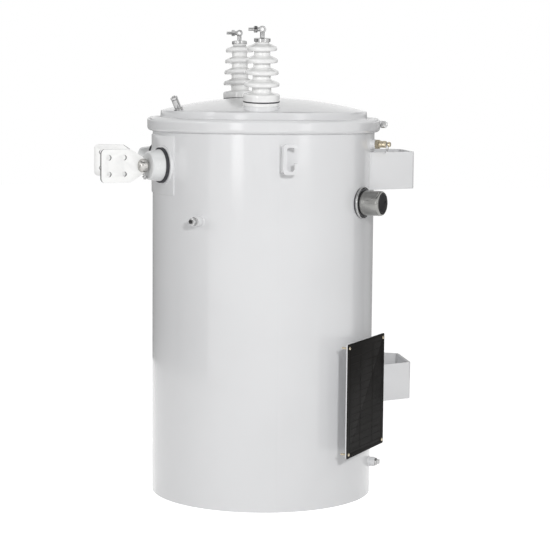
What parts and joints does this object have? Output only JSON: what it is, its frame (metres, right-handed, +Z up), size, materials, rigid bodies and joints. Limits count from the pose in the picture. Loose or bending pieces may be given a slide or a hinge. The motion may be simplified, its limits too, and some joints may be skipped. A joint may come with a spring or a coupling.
{
  "type": "pole mounted transformer",
  "caption": "Round steel distribution transformer tank with a clamped domed cover, porcelain and spade bushings, lifting lugs and support lugs for a pole.",
  "frame": {"origin": "centre of the tank's foot, on the tank's axis at floor level", "axes": "+Z up the tank's axis, +Y towards the pole, -Y towards the low voltage bushings, +X to the right as seen from the low voltage side"},
  "size_m": [0.693, 0.8728, 1.2927],
  "materials": {
    "tank_paint": "gloss",
    "gasket_rubber": "matte",
    "tap_flange": "satin",
    "porcelain": "gloss",
    "bushing_body": "gloss",
    "plated_steel": "satin",
    "tinned_pad": "satin",
    "hub_metal": "satin",
    "satin_cap": "satin",
    "valve_brass": "satin",
    "black_plate": "satin"
  },
  "bodies": {
    "root": {"band_bolt": "plated_steel", "bushing_plate": "tank_paint", "cover": "tank_paint", "cover_band": "tank_paint", "cover_gasket": "gasket_rubber", "cover_stud": "plated_steel", "drain_coupling": "tank_paint", "drain_plug": "plated_steel", "ground_bolt": "plated_steel", "ground_boss": "tank_paint", "hv_cap_left": "plated_steel", "hv_cap_right": "plated_steel", "hv_gasket_left": "gasket_rubber", "hv_gasket_right": "gasket_rubber", "hv_porcelain_left": "porcelain", "hv_porcelain_right": "porcelain", "hv_seat_left": "porcelain", "hv_seat_right": "porcelain", "hv_terminal_left": "plated_steel", "hv_terminal_right": "plated_steel", "lifting_lug_left": "tank_paint", "lifting_lug_right": "tank_paint", "lv_body_left": "bushing_body", "lv_body_right": "bushing_body", "lv_clamp_bolt_left": "plated_steel", "lv_clamp_bolt_right": "plated_steel", "lv_gasket_left": "gasket_rubber", "lv_gasket_right": "gasket_rubber", "lv_hub_left": "hub_metal", "lv_hub_right": "hub_metal", "lv_spade_left": "tinned_pad", "lv_spade_right": "tinned_pad", "nameplate": "black_plate", "nameplate_bracket": "tank_paint", "nameplate_screws": "valve_brass", "relief_coupling": "tank_paint", "relief_ring": "plated_steel", "relief_valve": "valve_brass", "support_lug_lower": "tank_paint", "support_lug_upper": "tank_paint", "tank_bead": "tank_paint", "tank_bottom": "tank_paint", "tank_wall": "tank_paint", "tap_changer_cap": "satin_cap", "tap_changer_flange": "tap_flange"}
  },
  "joints": []
}
